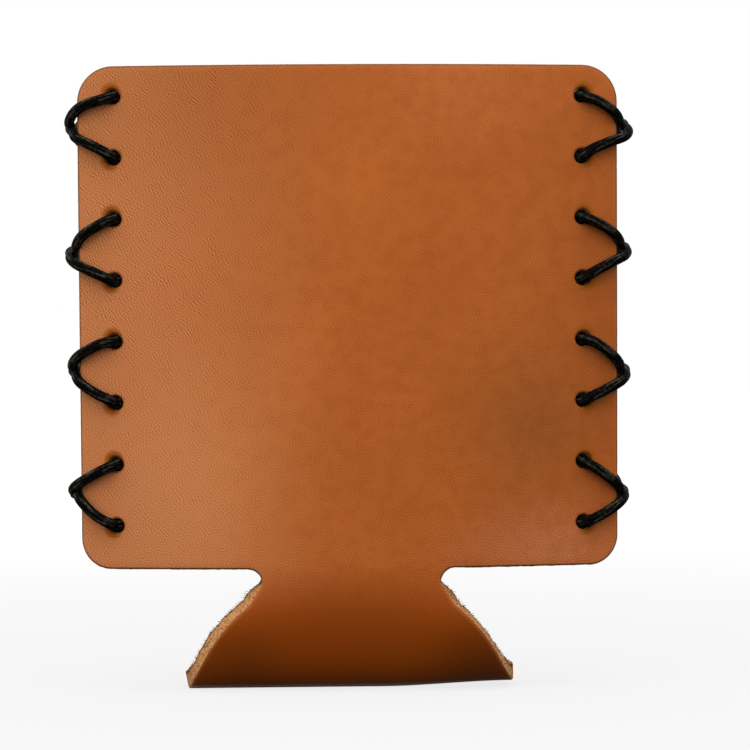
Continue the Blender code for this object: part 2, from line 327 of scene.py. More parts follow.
# How far out a strand lies on the leather and goes over the edge
LIE_REACH = 0.0022
OVER_START = 0.0055
OVER_REACH = 0.0016
KNOT_INBOARD = 0.0078
KNOT_TO_PANEL = 0.0005
FRONT_KNOT_DROP = 0.0033
BACK_KNOT_RISE = 0.0075
KNOT_RING_SHARE = 0.59
KNOT_LOBE_SHARE = 1.42
KNOT_DEPTH_SHARE = 0.945
KNOT_LEAD_SHARE = 1.0
KNOT_ENTRY_SHARE = 0.6
KNOT_POINTS = 72
KNOT_OPENING = math.radians(17)

FRONT = -1
BACK = 1
LEFT = -1
RIGHT = 1

# Strands over the front panel, upper and lower of each crossing, in mm from their hole: out to the
# side, towards the crossing, and off the grain side where that isn't STRAND_LIFT
STRAND_LIFT = 1.0
LEFT_STRANDS = (
    ((1.75, 0.56), (3.38, 0.92), (4.9, 1.4, 1.05), (6.1, 2, 1.1), (7.25, 2.85, 0.7), (8.15, 3.8, -0.4),
     (8.75, 4.7, -2.2), (8.6, 5.2, -4.2)),
    ((1.73, 1.2), (3.5, 2.1), (5, 2.85), (6.3, 3.4), (7.3, 4.1, 0.5), (7.6, 4.8, -0.8), (7.5, 5.4, -3)),
    ((1.7, 0.55), (3, 1.3), (4.3, 1.95), (5.5, 2.75), (6.5, 3.7, 0.9), (7.1, 4.6, 0.3), (7.45, 5.1, -0.9),
     (7.4, 5.5, -3)),
    ((1.4, 0.45), (3, 1.2), (4.7, 1.95), (6.3, 2.7, 1.05), (7.7, 3.5, 0.5), (8.6, 4.4, -0.7),
     (8.8, 5, -2.9)),
    ((1.75, 0.1), (3.4, 0.7), (5, 1.5), (6.5, 2.35), (7.8, 3.4, 0.35), (8.6, 4.5, -1.3), (8.7, 5, -3.4)),
    ((1.75, 1), (3.4, 1.75), (5, 2.75), (6.55, 3.85, 0.95), (7.45, 4.85, 0.2), (7.75, 5.5, -1.2),
     (7.5, 5.9, -3.2)),
    ((1.5, 0.6), (3.2, 1.4), (4.8, 2.25), (6.4, 3.15, 1.05), (7.9, 4.1, 0.5), (8.7, 4.8, -0.7),
     (8.75, 5.3, -2.8)),
    ((1.7, 0.75), (3.4, 1.7), (4.9, 2.9), (6.15, 4.15), (7.1, 5.25, 0.7), (7.6, 6, -0.6), (7.5, 6.3, -3)),
)
RIGHT_STRANDS = (
    ((1.1, 0.6, 0.95), (2.74, 1), (4, 1.7), (5.3, 2.6), (6.4, 3.55, 0.9), (7.15, 4.5, 0.2),
     (7.5, 5.1, -1.2), (7.4, 5.5, -3.2)),
    ((1.65, 1.2), (3.8, 2.1), (5.5, 2.8), (7.1, 3.3, 1.1), (8.4, 3.9, 0.75), (9.1, 4.6, -0.2),
     (9.15, 5.3, -1.8), (8.85, 6, -3.6)),
    ((1.9, 0.8), (3.5, 1.5), (4.9, 2.35), (6.2, 3.35, 0.95), (7.1, 4.3, 0.3), (7.6, 5, -1.1),
     (7.5, 5.5, -3.1)),
    ((1.9, 1.1), (3.5, 1.95), (5.2, 2.8), (6.8, 3.6), (8.1, 4.2, 0.5), (8.9, 4.9, -0.6),
     (8.95, 5.5, -2.5)),
    ((0.9, 0.15, 0.9), (2.1, 0.6), (3.4, 1.4), (4.8, 2.45), (6.05, 3.55), (7.1, 4.75, 0.5),
     (7.5, 5.5, -0.9), (7.4, 6, -3)),
    ((1.55, 0.75), (3.2, 1.45), (4.8, 2.25), (6.4, 3.05, 1.05), (7.75, 3.85, 0.5), (8.65, 4.65, -0.6),
     (8.85, 5.15, -2.6)),
    ((1.2, 0.8, 0.95), (2.5, 1.5), (3.9, 2.45), (5.3, 3.5), (6.45, 4.45, 0.9), (7.2, 5.3, 0.2),
     (7.5, 5.9, -1.3), (7.4, 6.2, -3.2)),
    ((1.5, 0.55), (3.1, 1.3), (4.75, 2.2), (6.25, 3.15, 1.05), (7.5, 4.1, 0.6), (8.35, 4.85, -0.5),
     (8.6, 5.2, -2.6)),
)
# The same over the back panel, by whether the strand is the outer one
BACK_UPPER_STRANDS = {
    True: ((1.75, 0.45), (3.4, 1.15), (5, 1.95), (6.3, 2.8), (7.5, 3.7, 0.45), (8.2, 4.6, -1),
        (8.5, 5.2, -3.1)),
    False: ((2, 0.9), (3.65, 1.6), (5, 2.4), (6.2, 3.3, 0.98), (7.2, 4.2, 0.5), (7.65, 4.9, -0.8),
        (7.7, 5.4, -2.9)),
}
BACK_LOWER_STRANDS = {
    True: ((1.9, 1), (3.5, 1.75), (5.2, 2.6), (6.4, 3.4, 0.95), (7.3, 4.2, 0.35), (7.95, 4.9, -0.9),
        (8.35, 5.35, -2.9)),
    False: ((1.75, 1), (3.4, 1.75), (5, 2.75), (6.35, 3.75, 0.95), (7.25, 4.6, 0.4), (7.65, 5.2, -0.9),
        (7.7, 5.6, -3)),
}
STRANDS = {LEFT: LEFT_STRANDS, RIGHT: RIGHT_STRANDS}
# Whether the upper strand is the outer one of a crossing
UPPER_OUTSIDE = {LEFT: (True, False, True, True), RIGHT: (False, False, False, False)}
# Where the strands cross between the panels, in mm: out to the side, and down from the upper hole
OUTER_CROSSINGS = {LEFT: (8.75, 8.95, 8.65, 8.6), RIGHT: (8.75, 8.95, 9.0, 8.75)}
INNER_CROSSING = {LEFT: 7.1, RIGHT: 7.45}
OUTER_DROPS = {LEFT: (5.35, 5.85, 5.4, 5.7), RIGHT: (4.8, 5.4, 5.7, 5.9)}
INNER_DROPS = {LEFT: (5.9, 6.3, 5.0, 4.9), RIGHT: (6.5, 6.3, 6.6, 6.3)}
# How far a strand beyond the edge stands out further than it looks, per mm behind the grain side
PARALLAX = {LEFT: 0.08, RIGHT: 0.12}

hole_diameter = LACE_DIAMETER + 2 * LACE_CLEARANCE
fold_radius = INNER_FOLD_RADIUS + LEATHER_THICKNESS
foot_half = FOOT_WIDTH / 2
bend_end = foot_half + fold_radius * math.pi / 2
panel_start = BASE_RADIUS
panel_end = panel_start + PANEL_HEIGHT
panel_half = PANEL_WIDTH / 2
hole_across = panel_half - HOLE_TO_SIDE
hole_pitch = (PANEL_HEIGHT - HOLE_TO_TOP - HOLE_TO_BOTTOM) / (HOLE_ROWS - 1)
side_half_depth = SIDE_GAP / 2 + LEATHER_THICKNESS
waist_bow = foot_half + fold_radius - side_half_depth
mouth_bow = (MOUTH_GAP - SIDE_GAP) / 2
lace_lift = LACE_DIAMETER / 2 + LACE_CLEARANCE


def placed(data):
    """An object in the scene with this mesh, lamp or camera, and its name."""
    piece = bpy.data.objects.new(data.name, data)
    bpy.context.scene.collection.objects.link(piece)
    return piece


def eased(value):
    """0 to 1 with a level start and end."""
    value = np.clip(value, 0.0, 1.0)
    return value * value * (3 - 2 * value)


def arc(centre, radius, start, stop):
    """Points of an arc in the plane of the blank, angles in radians, about OUTLINE_STEP apart."""
    steps = max(4, round(abs(stop - start) * radius / OUTLINE_STEP))
    angles = np.linspace(start, stop, steps + 1)
    return np.stack([centre[0] + radius * np.cos(angles), centre[1] + radius * np.sin(angles)], axis=1)


def hole_along(row):
    """Distance of a hole from the fold line, along the leather; row 0 is at the mouth."""
    return panel_end - HOLE_TO_TOP - row * hole_pitch


def grain_face(across, along):
    """The bent grain side of the front or back half: x, depth out from the middle plane, height."""
    turn = np.clip((along - foot_half) / fold_radius, 0, math.pi / 2)
    depth = np.minimum(along, foot_half) + fold_radius * np.sin(turn)
    height = fold_radius * (1 - np.cos(turn)) + np.maximum(along - bend_end, 0)
    turned_in = np.clip(1 - height / BASE_TURN_HEIGHT, 0, 1)
    depth += fold_radius * (np.sqrt(1 - turned_in**2) - np.sin(turn))
    waist = waist_bow * eased((along - bend_end) / (panel_start - bend_end))
    up = np.clip((along - panel_start) / PANEL_HEIGHT, 0, 1)
    bow = np.maximum(waist + (mouth_bow - waist_bow) * up, 1e-9)
    curve = panel_half**2 / (2 * bow)
    depth = np.where(along > panel_start, side_half_depth + bow, depth)
    return np.stack(
        [curve * np.sin(across / curve), depth - curve * (1 - np.cos(across / curve)), height], axis=-1
    )


def on_leather(across, along, lift=0.0):
    """World places of points of the blank, lifted off its grain side; along is negative on the back."""
    across = np.asarray(across, float)
    along = np.asarray(along, float)
    side = np.where(along < 0, 1.0, -1.0)
    far = np.abs(along)
    step = LEATHER_THICKNESS / 100
    right = grain_face(across + step, far) - grain_face(across - step, far)
    up = grain_face(across, far + step) - grain_face(across, np.maximum(far - step, 0))
    normal = np.cross(up, right)
    normal /= np.linalg.norm(normal, axis=-1, keepdims=True)
    place = grain_face(across, far) + normal * np.asarray(lift, float)[..., None]
    place[..., 1] *= side
    at_end = eased((across - FOLD_LIFT_START) / (BASE_RADIUS - FOLD_LIFT_START))
    place[..., 2] += FOLD_LIFT * at_end * (1 - eased(far / FOLD_LIFT_REACH))
    return place


# The flat blank


def right_edge():
    """The blank's right edge from the fold to the middle of the mouth, on the front half."""
    notch = (WAIST_HALF + NOTCH_RADIUS, panel_start - NOTCH_RADIUS)
    join = math.asin(WAIST_JOIN / BASE_RADIUS)
    start = BASE_RADIUS * np.array([math.cos(join), math.sin(join)])
    bend = start + WAIST_REACH * np.array([-math.sin(join), math.cos(join)])
    stop = np.array([WAIST_HALF, notch[1]])
    share = np.linspace(0, 1, WAIST_STEPS)[:, None]
    waist = start * (1 - share) ** 2 + bend * 2 * share * (1 - share) + stop * share**2
    low = (panel_half - BOTTOM_CORNER_RADIUS, panel_start + BOTTOM_CORNER_RADIUS)
    top = (panel_half - TOP_CORNER_RADIUS, panel_end - TOP_CORNER_RADIUS)
    corners = [
        arc((0, 0), BASE_RADIUS, 0, join),
        waist,
        arc(notch, NOTCH_RADIUS, math.pi, math.pi / 2),
        arc(low, BOTTOM_CORNER_RADIUS, -math.pi / 2, 0),
        arc(top, TOP_CORNER_RADIUS, 0, math.pi / 2),
        np.array([[0.0, panel_end]]),
    ]
    return np.concatenate(corners)


def blank_outline():
    """The whole outline, anticlockwise, as evenly spaced points."""
    quarter = right_edge()
    front = np.concatenate([quarter, quarter[::-1] * (-1, 1)])
    loop = np.concatenate([front, front * (-1, -1)])
    return evenly(np.concatenate([loop, loop[:1]]), OUTLINE_STEP)[:-1]


def run_along(line):
    """How far along a line each of its points lies."""
    return np.concatenate([[0], np.cumsum(np.linalg.norm(np.diff(line, axis=0), axis=1))])


def evenly(line, step):
    """The same line with points a set distance apart."""
    run = run_along(line)
    apart = np.diff(run, prepend=-1) > step * 1e-6
    line, run = line[apart], run[apart]
    places = np.linspace(0, run[-1], max(2, round(run[-1] / step) + 1))
    return np.stack([np.interp(places, run, line[:, axis]) for axis in range(line.shape[1])], axis=1)


def inward(loop):
    """Unit vectors in the plane that point from a closed anticlockwise loop into the leather."""
    along = np.roll(loop, -1, axis=0) - np.roll(loop, 1, axis=0)
    normal = np.stack([-along[:, 1], along[:, 0]], axis=1)
    return normal / np.linalg.norm(normal, axis=1, keepdims=True)


outline = blank_outline()
outward = -inward(outline)
# The lace holes of both halves
holes = [(hand, half, row) for half in (1, -1) for hand in (LEFT, RIGHT) for row in range(HOLE_ROWS)]
centres = np.array([(hand * hole_across, half * hole_along(row)) for hand, half, row in holes])


def lattice():
    """Points that fill the blank, clear of its outline and rings round the holes."""
    across = np.arange(-panel_half, panel_half, LATTICE_STEP)
    along = np.arange(-panel_end, panel_end, LATTICE_STEP * math.sqrt(3) / 2)
    grid = np.stack(np.meshgrid(across, along), axis=-1)
    grid[1::2, :, 0] += LATTICE_STEP / 2
    grid = grid.reshape(-1, 2)
    grid = grid[inside(outline, grid)]
    clear = EDGE_SECTION[0][0] + LATTICE_STEP / 2
    grid = grid[distance_to(outline, grid) > clear]
    rings = hole_diameter / 2 + HOLE_SECTION[0][0] + HOLE_RINGS[-1] + LATTICE_STEP / 3
    gaps = np.linalg.norm(grid[:, None] - centres[None], axis=2).min(axis=1)
    return grid[gaps > rings]


def inside(loop, points):
    """Which points lie inside a closed loop, by counting crossings."""
    after = np.roll(loop, -1, axis=0)
    hit = np.zeros(len(points), bool)
    for (x0, y0), (x1, y1) in zip(loop, after):
        if y0 != y1:
            spans = (y0 > points[:, 1]) != (y1 > points[:, 1])
            hit ^= spans & (points[:, 0] < x0 + (points[:, 1] - y0) * (x1 - x0) / (y1 - y0))
    return hit


def distance_to(loop, points):
    """Distance of each point from the nearest point of a loop."""
    near = np.empty(len(points))
    for start in range(0, len(points), BLOCK):
        block = points[start : start + BLOCK]
        near[start : start + BLOCK] = np.linalg.norm(block[:, None] - loop[None], axis=2).min(axis=1)
    return near


def ring_of(centre, radius, sides):
    """A clockwise ring, so that the leather lies on the same side as along the outline."""
    angles = -np.arange(sides) / sides * 2 * math.pi
    return np.stack([centre[0] + radius * np.cos(angles), centre[1] + radius * np.sin(angles)], axis=1)


def leather_blank():
    """The leather as one mesh: grain side, cut edges, punched holes and flesh side."""
    loops = [outline] + [ring_of(c, hole_diameter / 2, HOLE_SIDES) for c in centres]
    sections = [EDGE_SECTION] + [HOLE_SECTION] * len(centres)
    rims = [loop + inward(loop) * section[0][0] for loop, section in zip(loops, sections)]
    fill = [lattice()]
    for centre in centres:
        for extra in HOLE_RINGS:
            radius = hole_diameter / 2 + HOLE_SECTION[0][0] + extra
            fill.append(ring_of(centre, radius, HOLE_SIDES))
    fill = np.concatenate(fill)
    fill = fill[distance_to(outline, fill) > EDGE_SECTION[0][0] + LATTICE_STEP / 3]

    points = np.concatenate([fill, *rims])
    edges = []
    first = len(fill)
    starts = []
    for rim in rims:
        starts.append(first)
        edges += [(first + i, first + (i + 1) % len(rim)) for i in range(len(rim))]
        first += len(rim)
    made = delaunay_2d_cdt([Vector(p) for p in points], edges, [], 1, 1e-8)
    order = [ids[0] for ids in made[3]]
    triangles = np.array([[order[i] for i in face] for face in made[2]])
    middles = points[triangles].mean(axis=1)
    gaps = np.linalg.norm(middles[:, None] - centres[None], axis=2).min(axis=1)
    triangles = triangles[gaps > hole_diameter / 2 + HOLE_SECTION[0][0] * 0.9]

    flat = [np.column_stack([points, np.zeros(len(points)), np.zeros(len(points))])]
    faces = [tuple(t) for t in triangles]
    zones = [0] * len(faces)
    count = len(points)
    last_rings = []
    for loop, section, start in zip(loops, sections, starts):
        facing = inward(loop)
        above = np.arange(len(loop)) + start
        for inset, depth, rough in section[1:]:
            ring = loop + facing * inset
            flat.append(np.column_stack([ring, np.full(len(ring), -depth), np.full(len(ring), rough)]))
            below = np.arange(len(loop)) + count
            count += len(loop)
            after_above, after_below = np.roll(above, -1), np.roll(below, -1)
            faces += list(zip(above, below, after_below, after_above))
            zones += [0 if depth <= HOLE_SECTION[2][1] else 1] * len(loop)
            above = below
        last_rings.append(above)
    flesh = np.arange(len(fill)) + count
    flat.append(np.column_stack([fill, np.full(len(fill), -LEATHER_THICKNESS), np.full(len(fill), 0.4)]))
    under = np.concatenate([flesh, *last_rings])
    faces += [(under[a], under[c], under[b]) for a, b, c in triangles]
    zones += [2] * len(triangles)
    return np.concatenate(flat), faces, zones


def hole_stain(flat):
    """How much each point is darkened by the punch and the lace, most where the strand leans away from."""
    stain = np.zeros(len(flat))
    for place, (across, along) in enumerate(centres):
        heading, strength = STAINS[place % 2]
        off = (flat[:, :2] - (across, along)) * (math.copysign(1, across), math.copysign(1, along))
        reach = np.linalg.norm(off, axis=1)
        aside = np.clip((off @ heading) / np.maximum(reach, 1e-9), 0, 1)
        fade = STAIN_REACH * (STAIN_ROUND + (1 - STAIN_ROUND) * aside)
        near = np.exp(-(((reach - hole_diameter / 2) / fade) ** 2))
        stain = np.maximum(stain, near * (STAIN_AROUND + (1 - STAIN_AROUND) * aside) * strength)
    return stain


def brink(flat):
    """Distance from the cut outline, in mm, up to BRINK_REACH."""
    near = np.full(len(flat), BRINK_REACH * 1000)
    close = (np.abs(flat[:, 0]) > panel_half - BRINK_REACH) | (np.abs(flat[:, 1]) > panel_end - BRINK_REACH)
    close |= np.abs(flat[:, 1]) < panel_start + BRINK_REACH
    near[close] = distance_to(outline, flat[close, :2]) * 1000
    return np.minimum(near, BRINK_REACH * 1000)


def flare_by_outline():
    """How far the flesh side is pressed out past the grain side at each point of the front base's edge."""
    along = outline[:, 1]
    at_waist = 1 - eased((along - FLARE_END) / (FLARE_STOP - FLARE_END))
    upper = eased(along / FLARE_END)
    left, right = (low + (high - low) * upper**late for low, high, late in (FLARE_LEFT, FLARE_RIGHT))
    size = np.where(outline[:, 0] < 0, left, right) * at_waist
    return np.where(along > -FLARE_FADE, size * eased((along + FLARE_FADE) / FLARE_FADE), 0.0)


def nearest_on_outline(point):
    """Which point of the outline is nearest, and how far off it is."""
    gaps = np.sum((outline - point) ** 2, axis=1)
    nearest = np.argmin(gaps)
    return nearest, math.sqrt(gaps[nearest])


def edge_flare(flat):
    """The outward lean of the front base's cut edge, for each point of the leather."""
    shift = np.zeros((len(flat), 2))
    size = flare_by_outline()
    base = (flat[:, 2] < 0) & (flat[:, 1] > -FLARE_FADE) & (flat[:, 1] < FLARE_STOP)
    for i in np.flatnonzero(base):
        nearest, gap = nearest_on_outline(flat[i, :2])
        keep = 1 - eased(gap / FLARE_REACH)
        shift[i] = outward[nearest] * size[nearest] * keep * -flat[i, 2] / LEATHER_THICKNESS
    return shift


def edge_wander(flat):
    """How far each point of a cut edge stands out from the clean outline, more towards the flesh side."""
    shift = np.zeros((len(flat), 2))
    for i in np.flatnonzero(flat[:, 3] > ROUGH_FROM):
        nearest, gap = nearest_on_outline(flat[i, :2])
        if gap > EDGE_SECTION[0][0]:
            continue
        spot = Vector(flat[i, :3] * 1000)
        clumps = sum(noise.noise(spot * scale) * share for scale, share in WANDER_NOISE)
        calm = 1.0 if FOOT_CALM < abs(flat[i, 1]) < panel_start + FIBRE_MARGIN else WANDER_CALM
        shift[i] = outward[nearest] * EDGE_ROUGHNESS * flat[i, 3] * clumps * calm
    return shift


def flesh_fibres():
    """Short stiff fibres that stand out of the raw edge, in clumps, most at its flesh side."""
    flare = flare_by_outline()
    high = np.abs(outline[:, 1])
    low = np.flatnonzero((high > FOOT_CALM) & (high < panel_start + FIBRE_MARGIN))
    chance = random.Random(FIBRE_SEED)
    verts, faces = [], []
    while len(verts) < FIBRE_COUNT * FIBRE_SIDES * len(FIBRE_TAPER):
        spot = chance.choice(low)
        root = outline[spot] + outward[spot] * flare[spot] + (chance.uniform(-1, 1) * OUTLINE_STEP / 2, 0)
        if noise.noise(Vector((*root * FIBRE_CLUMPS, 0.0))) < chance.uniform(*FIBRE_THINNING):
            continue
        depth = LEATHER_THICKNESS - abs(chance.gauss(0, 1)) * FIBRE_SPREAD
        out = outward[spot] + [chance.gauss(0, FIBRE_TURN), chance.gauss(0, FIBRE_TURN)]
        out /= np.linalg.norm(out)
        length = FIBRE_LENGTH * chance.uniform(*FIBRE_LENGTHS)
        fall = chance.gauss(*FIBRE_FALL) * length
        curl = chance.gauss(0, FIBRE_CURL) * length
        across = np.array([-out[1], out[0]])
        steps = np.linspace(FIBRE_ROOT, 1, len(FIBRE_TAPER))
        flat = [root + out * length * s + across * curl * s * s for s in steps]
        lift = [-depth + fall * s * s for s in steps]
        line = on_leather(*np.transpose(flat), np.array(lift))
        places, sides = tube(line, np.array(FIBRE_TAPER) * FIBRE_RADIUS, FIBRE_SIDES)
        faces += [[len(verts) + i for i in face] for face in sides]
        verts += places.tolist()
    mesh = bpy.data.meshes.new("leather_edge_fibres")
    mesh.from_pydata(verts, [], faces)
    mesh.materials.append(fibre_material())
    mesh.update()
    return placed(mesh)


def build_leather():
    flat, faces, zones = leather_blank()
    flared = flat[:, :2] + edge_flare(flat) + edge_wander(flat)
    place = on_leather(flared[:, 0], flared[:, 1], flat[:, 2])
    mesh = bpy.data.meshes.new("leather_sleeve")
    mesh.from_pydata(place.tolist(), [], faces)
    mesh.validate()
    store = mesh.attributes.new("flat", "FLOAT_VECTOR", "POINT")
    store.data.foreach_set("vector", flat[:, :3].astype(np.float32).ravel())
    for name, values in (("stain", hole_stain(flat)), ("brink", brink(flat))):
        store = mesh.attributes.new(name, "FLOAT", "POINT")
        store.data.foreach_set("value", values.astype(np.float32))
    layer = mesh.uv_layers.new(name="blank")
    corners = np.empty(len(mesh.loops), np.int64)
    mesh.loops.foreach_get("vertex_index", corners)
    layer.data.foreach_set("uv", (flat[corners, :2] * MAP_SCALE + MAP_MIDDLE).astype(np.float32).ravel())
    mesh.polygons.foreach_set("material_index", np.array(zones, np.int32))
    mesh.polygons.foreach_set("use_smooth", np.ones(len(zones), bool))
    for material in (grain_material(), cut_edge_material(), flesh_material()):
        mesh.materials.append(material)
    return placed(mesh)


def smoothed(points, passes=LACE_SMOOTHING):
    """An evenly divided line through points: a centripetal spline, with its kinks eased."""
    points = np.asarray(points, float)
    ends = [2 * points[0] - points[1], *points, 2 * points[-1] - points[-2]]
    line = []
    for before, start, stop, after in zip(ends, ends[1:], ends[2:], ends[3:]):
        lengths = np.linalg.norm(np.diff([before, start, stop, after], axis=0), axis=1)
        t0, t1, t2, t3 = 0, *np.cumsum(lengths**0.5)
        t = np.linspace(t1, t2, SPLINE_POINTS + 1)[:-1, None]
        a1 = (t1 - t) / (t1 - t0) * before + (t - t0) / (t1 - t0) * start
        a2 = (t2 - t) / (t2 - t1) * start + (t - t1) / (t2 - t1) * stop
        a3 = (t3 - t) / (t3 - t2) * stop + (t - t2) / (t3 - t2) * after
        b1 = (t2 - t) / (t2 - t0) * a1 + (t - t0) / (t2 - t0) * a2
        b2 = (t3 - t) / (t3 - t1) * a2 + (t - t1) / (t3 - t1) * a3
        line.append((t2 - t) / (t2 - t1) * b1 + (t - t1) / (t2 - t1) * b2)
    line = evenly(np.concatenate([*line, points[-1:]]), LACE_STEP)
    for _ in range(passes):
        line[1:-1] += (line[:-2] + line[2:] - 2 * line[1:-1]) / 4
    return line


def by_hole(hand, side, row, out, towards, lift):
    """A place given in metres from a hole: out to the side edge, along the panel, off the grain side."""
    across = hand * (hole_across + out)
    along = hole_along(row) + towards
    return on_leather(across, along if side == FRONT else -along, lift)


def hole_exit(hand, side, row, ahead):
    """A strand from inside a hole to where it lies on the grain side, heading ahead in the panel's plane."""
    ahead = np.array(ahead, float)
    ahead /= np.linalg.norm(ahead)
    turn = LACE_TURN_RADIUS
    steps = [(0, -LACE_CUT_DEPTH), (HOLE_LEAN * 0.6, -LACE_CUT_DEPTH / 2), (HOLE_LEAN, -turn * TURN_SINK)]
    for share in TURN_SHARES:
        angle = share * math.pi / 2
        steps.append((HOLE_LEAN + turn * (1 - math.cos(angle)), turn * (math.sin(angle) - TURN_SINK)))
    return [by_hole(hand, side, row, ahead[0] * out, ahead[1] * out, lift) for out, lift in steps]


def half_strand(hand, side, row, table, sign, parallax):
    """From a hole over the panel to beside the crossing; sign is -1 where the strand comes down."""
    points = hole_exit(hand, side, row, (table[0][0], sign * table[0][1]))
    for out, towards, *lift in table:
        lift = lift[0] if lift else STRAND_LIFT
        out += parallax * max(-lift, 0)
        points.append(by_hole(hand, side, row, out / 1000, sign * towards / 1000, lift / 1000))
    return points


def crossing_line(hand, crossing, start_side):
    """One strand of a crossing, from the upper hole on one panel to the lower hole on the other."""
    outer = UPPER_OUTSIDE[hand][crossing] == (start_side == FRONT)
    parallax = PARALLAX[hand]
    drop = (OUTER_DROPS if outer else INNER_DROPS)[hand][crossing] / 1000
    out = (OUTER_CROSSINGS[hand][crossing] if outer else INNER_CROSSING[hand]) / 1000
    row = 2 * crossing
    strands = STRANDS[hand][row : row + 2]
    if start_side == FRONT:
        upper = half_strand(hand, FRONT, row, strands[0], -1, parallax)
        lower = half_strand(hand, BACK, row + 1, BACK_LOWER_STRANDS[outer], 1, 0)
    else:
        upper = half_strand(hand, BACK, row, BACK_UPPER_STRANDS[outer], -1, 0)
        lower = half_strand(hand, FRONT, row + 1, strands[1], 1, parallax)
    middle = by_hole(hand, FRONT, row, out, -drop, 0)
    middle[1] = 0
    return smoothed([*upper, middle, *reversed(lower)])


def inside_turn(hand, side, row, heading):
    """From inside a hole to the flesh side, heading up (1) or down (-1) along the panel."""
    turn = LACE_TURN_RADIUS
    lie = LEATHER_THICKNESS + RUN_LACE_RADIUS
    steps = [(0, LACE_CUT_DEPTH), (0, LACE_CUT_DEPTH + turn / 2), (0, lie - turn)]
    for share in (*TURN_SHARES, 1.0):
        angle = share * math.pi / 2
        steps.append((turn * (1 - math.cos(angle)), lie - turn * (1 - math.sin(angle))))
    return [by_hole(hand, side, row, 0, heading * out, -depth) for out, depth in steps]


def inside_line(hand, side, row):
    """A strand behind the panel, from a hole down to the next crossing's hole."""
    return smoothed([*inside_turn(hand, side, row, -1), *reversed(inside_turn(hand, side, row + 1, 1))])


def bridge_line(hand):
    """The lace between the two top holes, straight across the sleeve."""
    front = [by_hole(hand, FRONT, 0, 0, 0, -depth) for depth in (LACE_CUT_DEPTH, LEATHER_THICKNESS)]
    back = [by_hole(hand, BACK, 0, 0, 0, -depth) for depth in (LEATHER_THICKNESS, LACE_CUT_DEPTH)]
    return smoothed([*front, *back])


def knot_line(hand, side):
    """From the lowest hole into an overhand knot: an opened three-lobed loop."""
    hole = by_hole(hand, side, HOLE_ROWS - 1, 0, 0, -LEATHER_THICKNESS - lace_lift)
    shift = BACK_KNOT_RISE if side == BACK else -FRONT_KNOT_DROP
    centre = np.array([hole[0] - hand * KNOT_INBOARD, side * KNOT_TO_PANEL, hole[2] + shift])
    turn = math.pi + KNOT_OPENING + 2 * (math.pi - KNOT_OPENING) * np.arange(KNOT_POINTS + 1) / KNOT_POINTS
    outboard = KNOT_LOBE_SHARE * np.cos(2 * turn) - KNOT_RING_SHARE * np.cos(turn)
    up = KNOT_LOBE_SHARE * np.sin(2 * turn) + KNOT_RING_SHARE * np.sin(turn)
    depth = KNOT_DEPTH_SHARE * np.sin(3 * turn)
    points = centre + LACE_DIAMETER * np.stack([hand * outboard, -side * depth, up], axis=1)
    ahead = (points[1] - points[0]) / np.linalg.norm(points[1] - points[0])
    lead = points[0] - ahead * LACE_DIAMETER * KNOT_LEAD_SHARE
    away = lead - hole
    away[1] = 0
    away /= np.linalg.norm(away)
    depths = (LACE_CUT_DEPTH, LACE_CUT_DEPTH + LACE_TURN_RADIUS / 2, LEATHER_THICKNESS)
    inside = [by_hole(hand, side, HOLE_ROWS - 1, 0, 0, -depth) for depth in depths]
    inside.append(hole + away * LACE_TURN_RADIUS * KNOT_ENTRY_SHARE)
    return smoothed([*inside, lead, *points[::3]], KNOT_SMOOTHING)


def frames_along(line):
    """A pair of normals at each point of a line, which turn as little as they can along it."""
    tangents = np.gradient(line, axis=0)
    tangents /= np.linalg.norm(tangents, axis=1, keepdims=True)
    first = np.cross(tangents[0], (0.0, 0.0, 1.0))
    if np.linalg.norm(first) < 0.1:
        first = np.cross(tangents[0], (1.0, 0.0, 0.0))
    normal = first / np.linalg.norm(first)
    normals = [normal]
    for before, after in zip(tangents, tangents[1:]):
        normal = normal - before * (normal @ before)
        normal = normal - after * (normal @ after)
        normal /= np.linalg.norm(normal)
        normals.append(normal)
    normals = np.array(normals)
    return normals, np.cross(tangents, normals)


def lace_radii(line, crossing):
    """The radius along a lace, and how much it is pressed flat from the side."""
    out = np.abs(line[:, 0]) - hole_across
    over = eased((out - OVER_START) / OVER_REACH) if crossing else np.zeros(len(line))
    lie = eased(out / LIE_REACH) if crossing else np.ones(len(line))
    radius = HOLE_LACE_RADIUS + (RUN_LACE_RADIUS - HOLE_LACE_RADIUS) * lie
    if crossing:
        run = np.arange(len(line)) * LACE_STEP
        radius = radius + PLUG_SWELL * (1 - eased(np.minimum(run, run[::-1]) / PLUG_LENGTH))
    radius = radius + (EDGE_LACE_RADIUS - RUN_LACE_RADIUS) * over
    return radius, 1 - (1 - EDGE_SQUASH_SHARE) * over


def tube(line, radii, sides, squash=1.0):
    """Points and faces of a closed tube along a line, squashed from the side."""
    first, second = frames_along(line)
    angles = np.arange(sides) / sides * 2 * math.pi
    ring = np.cos(angles)[:, None] * first[:, None] + np.sin(angles)[:, None] * second[:, None]
    ring = ring * np.asarray(radii)[:, None, None]
    ring[..., 0] *= squash
    here = np.arange(len(line) - 1)[:, None] * sides + np.arange(sides)
    after = np.roll(here, -1, axis=1)
    faces = np.stack([here, after, after + sides, here + sides], axis=-1).reshape(-1, 4).tolist()
    faces += [here[0, ::-1].tolist(), (here[-1] + sides).tolist()]
    return (line[:, None] + ring).reshape(-1, 3), faces


